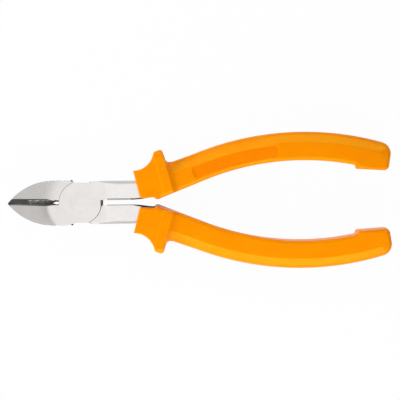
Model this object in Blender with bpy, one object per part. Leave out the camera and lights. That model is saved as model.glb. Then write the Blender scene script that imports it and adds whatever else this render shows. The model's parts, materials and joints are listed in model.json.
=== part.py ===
"""Diagonal cutter, 180 mm long: two like forged halves lapped on a rivet, each with a moulded sleeve.

Metres, +Z up. The tool lies flat with its jaws towards -X. The origin is below the middle of its box, on
the surface that it lies on. Each half is drawn about the pivot: the pivot axis is Z, the lap faces meet at
z = 0 and the tool's long axis is X. The rear half is the front half turned half round about X.
"""

import math

import bmesh
import bpy
import numpy as np

MM = 0.001

# Joint
HEAD_HALF = 5.0 * MM            # half the thickness of the joint
LAP_RADIUS = 10.0 * MM          # round lap of each half
LAP_FLAT = 9.4 * MM             # the lap is cut flat here, beside the opening stops
FIT_GAP = 0.3 * MM              # lap to lap, and lap rim to the wall round it
RIVET_RADIUS = 3.4 * MM
RIVET_HEAD_RADIUS = 4.6 * MM
RIVET_HEAD_DEPTH = 1.2 * MM
RIVET_CLEARANCE = 0.05 * MM
ROUND_SIDES = 64
WELD_DISTANCE = 0.003 * MM

# Jaw of the front half, on the -Y side
TIP_X = -34.1 * MM
JAW_HALF_WIDTH = 10.65 * MM
JAW_ARC_RADIUS = 28.6 * MM
JAW_ARC_X = -12.0 * MM          # where the arc runs into the straight back of the jaw
JAW_ARC_SWEEP = 47.3            # degrees from there to the nose
JAW_REAR_X = -3.9 * MM          # the opening stop of the jaw
BOSS_RADIUS = 14.8 * MM         # the head is flat inside this circle and thins towards the tip outside it
JAW_TAPER = 0.15                # fall of each face for each unit outwards
EDGE_GAP = 0.05 * MM            # from the long axis to a closed cutting edge
EDGE_LAND = 0.05 * MM           # half the blunt width of a cutting edge
BEVEL_WIDTH = 1.65 * MM         # ground bevel beside the cutting edge
RELIEF_X = -12.7 * MM           # rear end of the cutting edge
RELIEF_SLOPE = 1.0 * MM
RELIEF_HALF = 0.85 * MM

# Steel handle and tang of the front half, on the +Y side
SHOULDER_FOOT_X = 3.7 * MM
SHOULDER_TOP_X = 4.6 * MM
HANDLE_INNER = 1.3 * MM         # from the long axis to the handle's inner edge
HANDLE_WIDTH = 8.75 * MM
HANDLE_FLAT_END = 12.0 * MM     # the handle thins from here on
HANDLE_COLLAR_HALF = 4.1 * MM   # half thickness where the bend starts
TOOTH_START = 11.4 * MM
TOOTH_PITCH = 0.96 * MM
TOOTH_DEPTH = 0.42 * MM
TOOTH_COUNT = 13
BEND_START = 27.0 * MM
BEND_RADIUS = 30.0 * MM
TANG_HALF = 3.0 * MM            # half thickness in the sleeve
TANG_WIDTH = 7.0 * MM
TANG_END_WIDTH = 5.5 * MM
TANG_END_ANGLE = -14.0          # degrees, direction of the tang where it ends
EDGE_CHAMFER = 0.3 * MM

# Sleeve: bowed along an arc whose top lies furthest from the long axis
BOW_TOP = (104.0 * MM, 25.25 * MM)
BOW_RADIUS = 130.0 * MM
BOW_ANGLE = 21.5                # degrees, direction of the straight stretch before the bow
GRIP_HALF_WIDTH = 6.7 * MM
LOBE_ANGLE = -11.1              # degrees, direction of the bow where the end lobe starts to step out
LOBE_FULL_ANGLE = -12.0
LOBE_END_ANGLE = -15.7
COLLAR_HALF = 6.8 * MM          # half thicknesses along the sleeve
FLANGE_HALF = 7.2 * MM
WAIST_HALF = 6.3 * MM
FRONT_CENTRE = (24.9 * MM, 24.3 * MM)   # hollow front of the guard, an arc from the collar's front
FRONT_RADIUS = 9.7 * MM
FRONT_END_ANGLE = -14.0
CAVITY_GAP = 0.3 * MM
SLOT_END_X = 34.6 * MM          # the collar is open towards the long axis up to here
PALM_ROUND = 5.0 * MM
FINGER_ROUND = 1.4 * MM
COLLAR_ROUND = 0.8 * MM
END_ROUND = 2.0 * MM

# Corners of the sleeve in plan: x and y from the pivot, and the corner's radius
GUARD_TIP_FRONT = (34.85 * MM, 24.15 * MM, 0.9 * MM)
GUARD_TIP_REAR = (38.35 * MM, 24.15 * MM, 0.9 * MM)
GUARD_REAR = (38.9 * MM, 22.9 * MM, 0.0)
GUARD_FOOT = (40.55 * MM, 18.5 * MM, 1.8 * MM)
SHANK_START = (43.5 * MM, 18.75 * MM, 0.0)
COLLAR_INNER_FRONT = (28.4 * MM, 1.75 * MM, 0.0)
COLLAR_INNER_REAR = (34.4 * MM, 2.1 * MM, 0.0)
NIB_FRONT = (35.7 * MM, 1.15 * MM, 0.8 * MM)
NIB_REAR = (36.9 * MM, 1.3 * MM, 0.8 * MM)
NIB_END = (38.0 * MM, 1.77 * MM, 0.0)
SHANK_INNER_START = (41.5 * MM, 3.15 * MM, 0.0)
LOBE_ROOT = (128.9 * MM, 15.95 * MM, 0.6 * MM)
LOBE_CORNER = (129.2 * MM, 14.2 * MM, 0.9 * MM)
LOBE_FRONT = (130.4 * MM, 14.12 * MM, 0.0)
LOBE_REAR = (142.0 * MM, 13.35 * MM, 0.0)
END_INNER_CORNER = (144.47 * MM, 13.2 * MM, 2.0 * MM)
END_MIDDLE = (145.25 * MM, 18.4 * MM, 0.0)
END_OUTER_CORNER = (146.3 * MM, 25.35 * MM, 4.0 * MM)

STEEL_COLOUR = (0.72, 0.72, 0.71, 1.0)
SLEEVE_COLOUR = (0.95, 0.28, 0.0, 1.0)


def line(start, end, count):
    """Count points from start towards end, without the end."""
    return np.linspace(start, end, count, endpoint=False)


def arc(centre, radius, start_deg, end_deg, count):
    """Count points along an arc, without its end; angles run from +X towards +Y."""
    angle = np.radians(line(start_deg, end_deg, count))
    return np.column_stack([centre[0] + radius * np.cos(angle), centre[1] + radius * np.sin(angle)])


def rounded(points, steps):
    """Straight runs through (x, y, radius) points, each inner corner rounded in so many steps."""
    points = np.array(points)
    path = [points[0, :2]]
    for before, (x, y, radius), after in zip(points[:-2], points[1:-1], points[2:]):
        corner = np.array([x, y])
        back = (before[:2] - corner) / np.linalg.norm(before[:2] - corner)
        on = (after[:2] - corner) / np.linalg.norm(after[:2] - corner)
        half = math.acos(np.clip(back @ on, -1.0, 1.0)) / 2.0
        middle = corner + (back + on) / np.linalg.norm(back + on) * radius / math.sin(half)
        first = corner + back * radius / math.tan(half) - middle
        last = corner + on * radius / math.tan(half) - middle
        for share in np.linspace(0.0, 1.0, steps + 1):
            spoke = first * (1.0 - share) + last * share
            path.append(middle + spoke / np.linalg.norm(spoke) * radius)
    path.append(points[-1, :2])
    return np.array(path)


def inward(edge, side):
    """Unit normals of a plan edge that point into the body; side is +1 where the body is on the left."""
    along = np.gradient(edge, axis=0)
    along /= np.linalg.norm(along, axis=1)[:, None]
    return side * np.column_stack([-along[:, 1], along[:, 0]])


def loft(lower, upper, lower_half, upper_half, lower_cut, upper_cut, steps):
    """Closed bar between two plan edges with as many stations, the same above and below z = 0.

    Each edge has a half thickness at every station, and a (width, height) cut off its corners there.
    A corner is a flat bevel in one step, or a rounding in several.
    """
    turn = np.linspace(0.0, math.pi / 2.0, steps + 1)
    rings = []
    for edge, half, cut, side in ((lower, lower_half, lower_cut, 1.0), (upper, upper_half, upper_cut, -1.0)):
        normal = inward(edge, side)
        width, height = (np.broadcast_to(value, len(edge)) for value in cut)
        ring = []
        for angle in turn:
            plan = edge + normal * (width * (1.0 - math.sin(angle)))[:, None]
            ring.append(np.column_stack([plan, half - height * (1.0 - math.cos(angle))]))
        rings.append(ring)
    top = rings[0][::-1] + rings[1]
    bottom = [ring * (1.0, 1.0, -1.0) for ring in top[::-1]]

    bm = bmesh.new()
    columns = [[bm.verts.new(point) for point in ring] for ring in top + bottom]
    for first, second in zip(columns, columns[1:] + columns[:1]):
        for station in range(len(lower) - 1):
            bm.faces.new((first[station], first[station + 1], second[station + 1], second[station]))
    for station in (0, -1):
        bm.faces.new([column[station] for column in columns])
    bmesh.ops.remove_doubles(bm, verts=bm.verts, dist=WELD_DISTANCE)
    bmesh.ops.dissolve_degenerate(bm, dist=WELD_DISTANCE / 10.0, edges=bm.edges)
    bmesh.ops.triangulate(bm, faces=bm.faces)
    bmesh.ops.recalc_face_normals(bm, faces=bm.faces)
    return bm


def turned(profile):
    """Solid of revolution about Z from (radius, z) points that start and end on the axis."""
    bm = bmesh.new()
    verts = [bm.verts.new((radius, 0.0, z)) for radius, z in profile]
    edges = [bm.edges.new(pair) for pair in zip(verts, verts[1:])]
    bmesh.ops.spin(bm, geom=verts + edges, cent=(0.0, 0.0, 0.0), axis=(0.0, 0.0, 1.0),
                   angle=math.tau, steps=ROUND_SIDES, use_merge=True)
    bmesh.ops.remove_doubles(bm, verts=bm.verts, dist=WELD_DISTANCE)
    bmesh.ops.recalc_face_normals(bm, faces=bm.faces)
    return bm


def material(name, colour, roughness, metallic):
    """Principled material of one sub-part."""
    made = bpy.data.materials.new(name)
    made.use_nodes = True
    shader = made.node_tree.nodes["Principled BSDF"]
    shader.inputs["Base Color"].default_value = colour
    shader.inputs["Roughness"].default_value = roughness
    shader.inputs["Metallic"].default_value = metallic
    return made


def place(name, bm, parent):
    """Object of a finished bmesh, drawn about the pivot and carried by an empty there."""
    mesh = bpy.data.meshes.new(name)
    bm.to_mesh(mesh)
    bm.free()
    made = bpy.data.objects.new(name, mesh)
    made.parent = parent
    bpy.context.collection.objects.link(made)
    return made


def cut(target, name, bm):
    """Take a shape out of a sub-part with a Boolean; the cutter stays as a hidden helper."""
    cutter = place(name, bm, target.parent)
    cutter.hide_render = True
    cutter.display_type = 'WIRE'
    modifier = target.modifiers.new(name, 'BOOLEAN')
    modifier.operation = 'DIFFERENCE'
    modifier.object = cutter


def finish(made, look):
    """Give a sub-part its material, and smooth shading between its sharp edges; weld what the cuts split."""
    weld = made.modifiers.new("weld", 'WELD')
    weld.merge_threshold = WELD_DISTANCE
    made.data.materials.append(look)
    made.data.shade_smooth()
    made.data.set_sharp_from_angle(angle=math.radians(35.0))


def bow_centre():
    """Centre of the arc along which sleeve and tang are bowed."""
    return BOW_TOP[0], BOW_TOP[1] - BOW_RADIUS


def handle_edges():
    """Inner and outer plan edges of the handle from the bend to the tang's end, and its half thicknesses.

    The inner edge runs along the long axis, bends outwards, goes straight and then follows the bow.
    The outer edge lies square across from it, at a width that narrows into the tang and along it.
    """
    centre = bow_centre()
    bend_centre = (BEND_START, HANDLE_INNER + BEND_RADIUS)
    bend_end = arc(bend_centre, BEND_RADIUS, BOW_ANGLE - 90.0, BOW_ANGLE, 1)[0]
    square = np.radians(BOW_ANGLE + 90.0)
    bow_radius = (bend_end - centre) @ (math.cos(square), math.sin(square))
    bow_start = arc(centre, bow_radius, BOW_ANGLE + 90.0, 0.0, 1)[0]
    bend = np.radians(line(0.0, BOW_ANGLE, 5))
    bow = np.radians(np.linspace(BOW_ANGLE, TANG_END_ANGLE, 12))
    inner = np.vstack([
        arc(bend_centre, BEND_RADIUS, -90.0, BOW_ANGLE - 90.0, len(bend)),
        line(bend_end, bow_start, 3),
        np.column_stack([centre[0] - bow_radius * np.sin(bow), centre[1] + bow_radius * np.cos(bow)]),
    ])
    direction = np.concatenate([bend, np.full(3, np.radians(BOW_ANGLE)), bow])
    marks = [0, len(bend), len(inner) - 1]
    station = np.arange(len(inner))
    width = np.interp(station, marks, [HANDLE_WIDTH, TANG_WIDTH, TANG_END_WIDTH])
    half = np.interp(station, marks, [HANDLE_COLLAR_HALF, TANG_HALF, TANG_HALF])
    outer = inner + np.column_stack([-np.sin(direction), np.cos(direction)]) * width[:, None]
    return inner, outer, half


def head_half(plan):
    """Half thickness of the forging over plan points before the bend."""
    outwards = np.maximum(np.hypot(plan[:, 0], plan[:, 1]) - BOSS_RADIUS, 0.0)
    jaw = HEAD_HALF - JAW_TAPER * outwards
    handle = np.interp(plan[:, 0], [HANDLE_FLAT_END, BEND_START], [HEAD_HALF, HANDLE_COLLAR_HALF])
    return np.where(plan[:, 0] < 0.0, jaw, handle)


def plier_half(name, pivot, look):
    """Forged half: lower jaw, upper lap and upper handle, with the lap recess and the rivet hole cut out."""
    jaw_centre = (JAW_ARC_X, JAW_ARC_RADIUS - JAW_HALF_WIDTH)
    nose_end = arc(jaw_centre, JAW_ARC_RADIUS, -90.0 - JAW_ARC_SWEEP, 0.0, 1)[0]
    nose = (TIP_X, nose_end[1] + (nose_end[0] - TIP_X) * math.tan(math.radians(JAW_ARC_SWEEP)))
    relief = (RELIEF_X + RELIEF_SLOPE, -EDGE_GAP - RELIEF_HALF)
    flat_x = math.sqrt(LAP_RADIUS ** 2 - LAP_FLAT ** 2)
    flat_deg = math.degrees(math.asin(LAP_FLAT / LAP_RADIUS))
    relief_deg = 180.0 + math.degrees(math.asin(-relief[1] / LAP_RADIUS))
    handle_deg = math.degrees(math.asin(HANDLE_INNER / LAP_RADIUS))
    lap_left = arc((0.0, 0.0), LAP_RADIUS, relief_deg, 0.0, 1)[0]
    handle_root = arc((0.0, 0.0), LAP_RADIUS, handle_deg, 0.0, 1)[0]
    handle_outer = HANDLE_INNER + HANDLE_WIDTH

    tooth_x = TOOTH_START + TOOTH_PITCH * 0.5 * np.arange(2 * TOOTH_COUNT + 1)
    tooth_y = HANDLE_INNER + TOOTH_DEPTH * (np.arange(2 * TOOTH_COUNT + 1) % 2)
    serrated = np.column_stack([tooth_x, tooth_y])
    inner, outer, tang_half = handle_edges()

    lower = np.vstack([
        line(nose, nose_end, 3),
        arc(jaw_centre, JAW_ARC_RADIUS, -90.0 - JAW_ARC_SWEEP, -90.0, 12),
        line((JAW_ARC_X, -JAW_HALF_WIDTH), (lap_left[0], -JAW_HALF_WIDTH), 4),
        line((lap_left[0], -JAW_HALF_WIDTH), (JAW_REAR_X, -JAW_HALF_WIDTH), 11),
        [(JAW_REAR_X, -JAW_HALF_WIDTH)],
        line((-flat_x, -LAP_FLAT), (flat_x, -LAP_FLAT), 4),
        arc((0.0, 0.0), LAP_RADIUS, -flat_deg, handle_deg, 12),
        [handle_root],
        serrated,
        inner,
    ])
    upper = np.vstack([
        line((TIP_X, -EDGE_GAP), (RELIEF_X, -EDGE_GAP), 15),
        line((RELIEF_X, -EDGE_GAP), relief, 2),
        line(relief, lap_left, 2),
        arc((0.0, 0.0), LAP_RADIUS, relief_deg, 180.0 - flat_deg, 12),
        line((-flat_x, LAP_FLAT), (SHOULDER_FOOT_X, LAP_FLAT), 4),
        line((SHOULDER_FOOT_X, LAP_FLAT), (SHOULDER_TOP_X, handle_outer), 3),
        line((SHOULDER_TOP_X, handle_outer), (handle_root[0], handle_outer), 9),
        [(handle_root[0], handle_outer)],
        np.column_stack([tooth_x, np.full(len(tooth_x), handle_outer)]),
        outer,
    ])
    lower_half = np.concatenate([head_half(lower[:-len(inner)]), tang_half])
    upper_half = np.concatenate([head_half(upper[:-len(outer)]), tang_half])
    cutting = upper[:, 0] <= RELIEF_X
    across = np.linalg.norm(upper - lower, axis=1)
    bevel_width = np.where(cutting, np.minimum(BEVEL_WIDTH, 0.8 * across), EDGE_CHAMFER)
    bevel_height = np.where(cutting, upper_half - EDGE_LAND, EDGE_CHAMFER)
    back_width = np.minimum(EDGE_CHAMFER, 0.1 * across)

    made = place(name, loft(lower, upper, lower_half, upper_half, (back_width, EDGE_CHAMFER),
                            (bevel_width, bevel_height), 1), pivot)
    recess = LAP_RADIUS + FIT_GAP
    lap_face = FIT_GAP / 2.0
    below = -2.0 * HEAD_HALF
    room = [(0.0, below), (recess, below), (recess, lap_face), (0.0, lap_face)]
    cut(made, name + "_lap_recess", turned(room))
    cut(made, name + "_rivet_hole", turned(rivet_profile(RIVET_CLEARANCE)))
    finish(made, look)
    return made


def rivet_profile(clearance):
    """Profile of the rivet, or of its hole: a shank with a countersunk head closed flush at both faces."""
    head = RIVET_HEAD_RADIUS + clearance
    shank = RIVET_RADIUS + clearance
    neck = HEAD_HALF - RIVET_HEAD_DEPTH
    half = [(shank, neck), (head, HEAD_HALF)]
    if clearance:
        half.append((head, 2.0 * HEAD_HALF))
    top = half + [(0.0, half[-1][1])]
    return [(radius, -z) for radius, z in reversed(top)] + top


def grip_edges():
    """Palm and finger edges of the sleeve in plan, with as many stations, and where each run of them starts.

    Both run from the slanted front of the collar, past the finger guard and its nib, along the straight
    stretch and the bow to the end lobe, and meet in the middle of the rounded end.
    """
    centre = bow_centre()
    directions = (BOW_ANGLE, LOBE_ANGLE, LOBE_FULL_ANGLE, LOBE_END_ANGLE)
    start, lobe, full, end = (direction + 90.0 for direction in directions)
    palm_radius = BOW_RADIUS + GRIP_HALF_WIDTH
    finger_radius = BOW_RADIUS - GRIP_HALF_WIDTH
    palm_start = arc(centre, palm_radius, start, 0.0, 1)[0]
    palm_last = arc(centre, palm_radius, end, 0.0, 1)[0]
    finger_start = arc(centre, finger_radius, start, 0.0, 1)[0]
    finger_last = arc(centre, finger_radius, lobe, 0.0, 1)[0]
    guard_front = arc(FRONT_CENTRE, FRONT_RADIUS, FRONT_END_ANGLE, 0.0, 1)[0]
    runs = {
        "collar": (arc(FRONT_CENTRE, FRONT_RADIUS, -90.0, FRONT_END_ANGLE, 7),
                   line(COLLAR_INNER_FRONT[:2], COLLAR_INNER_REAR[:2], 7)),
        "guard": (rounded([(*guard_front, 0.0), GUARD_TIP_FRONT, GUARD_TIP_REAR, GUARD_REAR], 3)[:-1],
                  rounded([COLLAR_INNER_REAR, NIB_FRONT, NIB_REAR, NIB_END], 3)[:-1]),
        "foot": (rounded([GUARD_REAR, GUARD_FOOT, SHANK_START], 3)[:-1],
                 line(NIB_END[:2], SHANK_INNER_START[:2], 5)),
        "shank": (line(SHANK_START[:2], palm_start, 3),
                  line(SHANK_INNER_START[:2], finger_start, 3)),
        "bow": (arc(centre, palm_radius, start, lobe, 12),
                arc(centre, finger_radius, start, lobe, 12)),
        "step": (arc(centre, palm_radius, lobe, full, 9),
                 rounded([(*finger_last, 0.0), LOBE_ROOT, LOBE_CORNER, LOBE_FRONT], 3)[:-1]),
        "lobe": (arc(centre, palm_radius, full, end, 3),
                 line(LOBE_FRONT[:2], LOBE_REAR[:2], 3)),
        "end": (rounded([(*palm_last, 0.0), END_OUTER_CORNER, END_MIDDLE], 4),
                rounded([LOBE_REAR, END_INNER_CORNER, END_MIDDLE], 4)),
    }
    palm, finger = (np.vstack(edges) for edges in zip(*runs.values()))
    counts = [len(edges[0]) for edges in runs.values()]
    starts = dict(zip(runs, np.cumsum([0] + counts[:-1])))
    return palm, finger, starts


def sleeve(name, pivot, look):
    """Moulded sleeve with a guarded collar, hollow for the tang and open at the collar's inner side."""
    palm, finger, starts = grip_edges()

    def along(**values):
        """Value at each station, straight between the starts of the named runs."""
        return np.interp(np.arange(len(palm)), [starts[run] for run in values], list(values.values()))

    half = along(collar=COLLAR_HALF, guard=FLANGE_HALF, foot=FLANGE_HALF, shank=WAIST_HALF, step=FLANGE_HALF)
    palm_round = along(foot=COLLAR_ROUND, bow=PALM_ROUND, step=PALM_ROUND, end=END_ROUND)
    finger_round = along(foot=COLLAR_ROUND, bow=FINGER_ROUND, step=COLLAR_ROUND, lobe=COLLAR_ROUND,
                         end=END_ROUND)
    made = place(name, loft(finger, palm, half, half, (finger_round, finger_round),
                            (palm_round, palm_round), 3), pivot)

    inner, outer, tang_half = handle_edges()
    inner = inner + CAVITY_GAP * inward(inner, -1.0)
    outer = outer + CAVITY_GAP * inward(outer, 1.0)
    lead = (TOOTH_START, 0.0)
    inner = np.vstack([inner[0] - lead, inner, 2.0 * inner[-1] - inner[-2]])
    outer = np.vstack([outer[0] - lead, outer, 2.0 * outer[-1] - outer[-2]])
    room = np.concatenate([tang_half[:1], tang_half, tang_half[-1:]]) + CAVITY_GAP
    chamfer = (EDGE_CHAMFER, EDGE_CHAMFER)
    cut(made, name + "_cavity", loft(inner, outer, room, room, chamfer, chamfer, 1))

    slot_inner = np.array([(inner[0, 0], -HANDLE_INNER), (SLOT_END_X, -HANDLE_INNER)])
    slot_outer = slot_inner + (0.0, HANDLE_INNER + HANDLE_WIDTH / 2.0)
    slot_room = np.full(2, HANDLE_COLLAR_HALF + CAVITY_GAP)
    cut(made, name + "_slot", loft(slot_inner, slot_outer, slot_room, slot_room, chamfer, chamfer, 1))
    finish(made, look)
    return made


def pivot_empty(name, roll):
    """Empty on the pivot axis, midway through the joint, that carries one half of the tool."""
    palm = grip_edges()[0]
    made = bpy.data.objects.new(name, None)
    made.location = (-(TIP_X + palm[:, 0].max()) / 2.0, 0.0, FLANGE_HALF)
    made.rotation_euler = (roll, 0.0, 0.0)
    bpy.context.collection.objects.link(made)
    return made


def main():
    for old in list(bpy.data.objects):
        bpy.data.objects.remove(old)
    steel = material("nickel_plated_steel", STEEL_COLOUR, 0.3, 1.0)
    orange = material("orange_pvc", SLEEVE_COLOUR, 0.4, 0.0)
    front = pivot_empty("front_pivot", 0.0)
    rear = pivot_empty("rear_pivot", math.pi)
    plier_half("front_plier_half", front, steel)
    plier_half("rear_plier_half", rear, steel)
    sleeve("upper_grip_sleeve", front, orange)
    sleeve("lower_grip_sleeve", rear, orange)
    finish(place("pivot_rivet", turned(rivet_profile(0.0)), front), steel)


main()
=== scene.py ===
"""Looks of a diagonal cutter: two plated forgings lapped on a flush rivet, each with a moulded orange sleeve.

The sections follow the tool as it is put together. Sizes in plan are millimetres from the pivot: x runs
towards the handle ends, y towards the upper handle, and the laps meet at z = 0.
"""

import json
import math

import bmesh
import bpy
import numpy as np
from mathutils import Matrix, Vector


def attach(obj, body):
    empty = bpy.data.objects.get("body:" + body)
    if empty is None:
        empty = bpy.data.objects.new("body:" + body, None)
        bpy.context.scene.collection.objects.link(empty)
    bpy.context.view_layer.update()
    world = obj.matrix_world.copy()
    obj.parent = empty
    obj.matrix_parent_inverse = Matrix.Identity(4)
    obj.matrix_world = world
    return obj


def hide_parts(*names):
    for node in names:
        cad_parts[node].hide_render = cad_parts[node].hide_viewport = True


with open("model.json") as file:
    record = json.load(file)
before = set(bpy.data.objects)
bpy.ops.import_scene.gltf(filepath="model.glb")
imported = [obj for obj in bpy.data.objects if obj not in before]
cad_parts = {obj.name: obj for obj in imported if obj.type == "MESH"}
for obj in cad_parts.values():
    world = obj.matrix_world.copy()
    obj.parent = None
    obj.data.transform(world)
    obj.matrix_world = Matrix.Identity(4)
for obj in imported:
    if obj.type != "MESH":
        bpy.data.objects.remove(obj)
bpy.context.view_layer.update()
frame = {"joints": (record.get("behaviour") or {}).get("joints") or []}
bpy.context.scene.view_settings.view_transform = 'Standard'


# Plier halves
# Two like drop forgings of tool steel, milled at the lap, tumbled and plated with nickel. The rear one is the
# front one turned half round about the long axis. The cutting bevels are ground and hardened after plating.
# The milled walls, the rim's chamfer, the notches and the inner edge beside the collar are coloured dark as
# painted shade.
MM = 0.001
PIVOT = np.array(frame["joints"][0]["pos_m"])
NICKEL, OXIDE_AND_SHADE, BLACK_SHADE = range(3)     # finishes of a half, in the order of its materials: plate, oxide with painted shade, black painted shade

HEAD_HALF = 5.0             # half the thickness of the joint
LAP_RADIUS = 10.0           # round lap of each half
LAP_FLAT = 9.4              # the lap is cut flat here, beside the opening stops
SEAM = 0.1                  # between a lap's rim and the wall round it
LAP_PLAY = 0.04             # between the two lap faces
TIP_X = -34.1
JAW_HALF_WIDTH = 10.65
JAW_ARC_RADIUS = 28.6
JAW_ARC_X = -12.0           # where the arc runs into the straight back of the jaw
BOSS_RADIUS = 15.5          # flat inside this circle, and a shallow cone towards the tip outside it
FRONT_BLEND = 0.4           # how softly the flat runs into the cone on the front and on the back face
BACK_BLEND = 2.5
JAW_FALL = 0.15             # fall of each face for each unit outwards
JAW_STEP = (0.3, 4.0)       # further fall just outside the circle, and over how far it comes
EDGE_GAP = 0.002            # from the long axis to a closed cutting edge
EDGE_LAND = 0.05            # half the blunt width of a cutting edge
BEVEL_X = (-30.0, -18.0, -15.4, -13.2)  # width of the ground bevel along the edge, on each face
FRONT_BEVEL = (0.8, 1.33, 1.35, 1.05)
BACK_BEVEL = (2.17, 1.95, 1.9, 1.2)
BEVEL_SHARE = 0.97          # it takes at most this share of the jaw's width
RELIEF_X = -13.05           # rear end of the cutting edge
RELIEF_FULL_X = -11.6       # the relief has opened to its full width here
RELIEF_HALF = 0.65          # half its width at the middle plane, at the front face and at the back face
RELIEF_FRONT_HALF = 0.9
RELIEF_BACK_HALF = 1.5
LAP_ROW_X = -9.0            # back of the jaw across from where the cutting edge meets the lap
STOP_OUTER = (-3.8, -10.65)     # opening stop at the rear of the jaw, and the pocket milled beside it
STOP_INNER = (-3.12, -9.4)
POCKET_X = -4.3
POCKET_Y = (-10.9, -9.9)
POCKET_LAND = 0.4           # half height of the stop's wall between the pockets of both faces
FLAT_TURN = 0.8             # length of the lap's flat that lies across from the stop
SHOULDER_FOOT_X = 4.1
SHOULDER_TOP_X = 4.58
HANDLE_INNER = 1.1          # from the long axis to the handle's inner edge
HANDLE_OUTER = 10.05
GAP_BULGE = (0.0, 0.3, 0.7)     # how far the lap's rim stands out at these angles, between the handles
GAP_BULGE_DEG = (-10.0, -7.0, 7.0)
ROOM_BULGE = (0.0, 0.72, 0.72, 0.4, 0.0)    # and the room milled for it in the other half
ROOM_BULGE_DEG = (-16.0, -14.0, 6.5, 8.0, 11.0)
SLOT_X = (9.45, 10.75)      # slanted slot milled into the rim between the handles, at face and foot
SLOT_Y = (-1.2, 1.09)
SLOT_FOOT = 0.4             # height of its foot above the middle plane
RIM_LEAN = (0.06, 0.25, 0.06)   # chamfer of the rim at these angles, widest below the slot, dark with painted shade
RIM_LEAN_DEG = (-50.0, -8.0, 7.0)
RIM_SLOPE = 3.0             # fall of that chamfer for each unit outwards
TOOTH_START = 12.78
TOOTH_PITCH = 0.905
TOOTH_COUNT = 13
NOTCH_WIDTH = 0.5
NOTCH_WALL = 0.02           # lean of a notch's side walls
NOTCH_ACROSS = (0.0, NOTCH_WALL, NOTCH_WIDTH / 2.0, NOTCH_WIDTH - NOTCH_WALL, NOTCH_WIDTH)
NOTCH_SUNK = (False, True, True, True, False)   # which of these points across a notch lie in it
FRONT_NOTCH = (0.75, 4.0)   # how far in and down a notch runs, on the front and on the back face
BACK_NOTCH = (0.4, 2.5)
HANDLE_FLAT_END = 12.0      # the handle thins from here on
TANG_START = 27.0
TANG_INNER = 1.3
BLACK_SHADE_EDGE_X = (24.1, 24.6, 25.4, 29.0)     # inner edge beside the collar, slanted and painted black as shade: width of its slant
FRONT_BLACK_SHADE_EDGE = (0.1, 0.5, 0.55, 0.6)
BACK_BLACK_SHADE_EDGE = (0.1, 0.1, 0.4, 0.9)
BLACK_SHADE_EDGE_SLOPE = 4.0      # fall of that slant for each unit outwards
BLACK_SHADE_X = 28.9              # black all over from here on, as painted shade where the tang shows in the collar's slot
HANDLE_COLLAR_HALF = 4.1    # half thickness where the tang starts
TANG_HALF = 3.0
TANG_X = 38.0
TANG_WIDTH = (7.0, 5.5)
TANG_END_DEG = -14.0
TANG_CRANK = ((28.0, 1.35, 8.0), (35.6, 2.45, 3.0))     # x, y and rounding of the bends inside the collar
TANG_SHOULDER = (35.0, 10.0, 6.0)
BOW_TOP = (104.0, 25.25)    # tang and sleeve are bowed along an arc whose top lies furthest out
BOW_RADIUS = 130.0
BOW_DEG = 21.5              # direction of the straight stretch before the bow
TANG_RADIUS = 124.8         # inner edge of the tang in the bow
BOW_CENTRE = (BOW_TOP[0], BOW_TOP[1] - BOW_RADIUS)
SOFT_EDGE = 0.1             # tumbled edge of the forging, and at most what share of a row it takes
SOFT_SHARE = 0.1
FINE_EDGE = 0.03            # edge beside a milled face
MARK_DEPTH = 0.15           # a cell that lies deeper than this in a cut has the cut's dark finish, which paints shade into the recesses
NOTCH_WEIGHT = 4.0          # a notch counts so many times as deep, so that its walls take that dark finish as painted shade
SCUFF_X = ((-25.5, -23.5), (-13.8, -15.2))  # the scuffs come in and fade out along the edge and across it
SCUFF_Y = ((-0.3, 0.2), (1.75, 1.15))
SCUFF_LINE = (0.02, 0.08, 0.95, 0.2)    # a scuff fades between these noise values, between these strengths
OXIDE_SHADE_Y = (0.1, 1.5)        # span of the painted shade, from the edge to the rim of the bevel
BAND_X = (8.6, 11.5, 17.0)  # forged bevel along the outside of the handle: where it starts, grows and is full
FRONT_BAND = (0.3, 1.0, 1.65)
BACK_BAND = (0.3, 0.6, 1.25)
BAND_FALL = 0.2             # fall of that bevel for each unit outwards
RIVET_RADIUS = 3.4
RIVET_HEAD_RADIUS = 4.6
RIVET_HEAD_DEPTH = 1.2
RIVET_PLAY = 0.02
CORNER_RINGS = 7            # points across a corner, across a face, round a turned shape, along the tang
FACE_COLUMNS = 26
ROUND_SIDES = 192
TANG_STRAIGHT_ROWS = 70
TANG_BOW_ROWS = 40
ROW_SINE = 0.3              # a row that meets its edge at a smaller sine is packed as at this one
ROW_PACKED = (0.85, 0.95)   # packed points take at most these shares of a row, at one edge and at both
CUT_BEYOND = 1.0            # a cutter runs on beyond the surface by this,
CUT_OVERLAP = 0.01          # and over a surface that it meets by this
WELD = 0.001                # points closer than this are merged
TINY = 1e-9                 # keeps a division away from nought
CREASE = math.radians(32.0)     # an edge sharper than this stays sharp


def run(start, end, count):
    """Points evenly from start towards end, without the end."""
    return np.linspace(start, end, count, endpoint=False)


def spokes(degrees):
    """Unit vectors in plan at angles in degrees: their cosine and sine."""
    angle = np.radians(degrees)
    return np.column_stack([np.cos(angle), np.sin(angle)])


def sweep(centre, radius, first, last, count):
    """Points along an arc, without its end: the centre plus the radius times spokes between two angles."""
    return np.array(centre) + radius * spokes(run(first, last, count))


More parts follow.
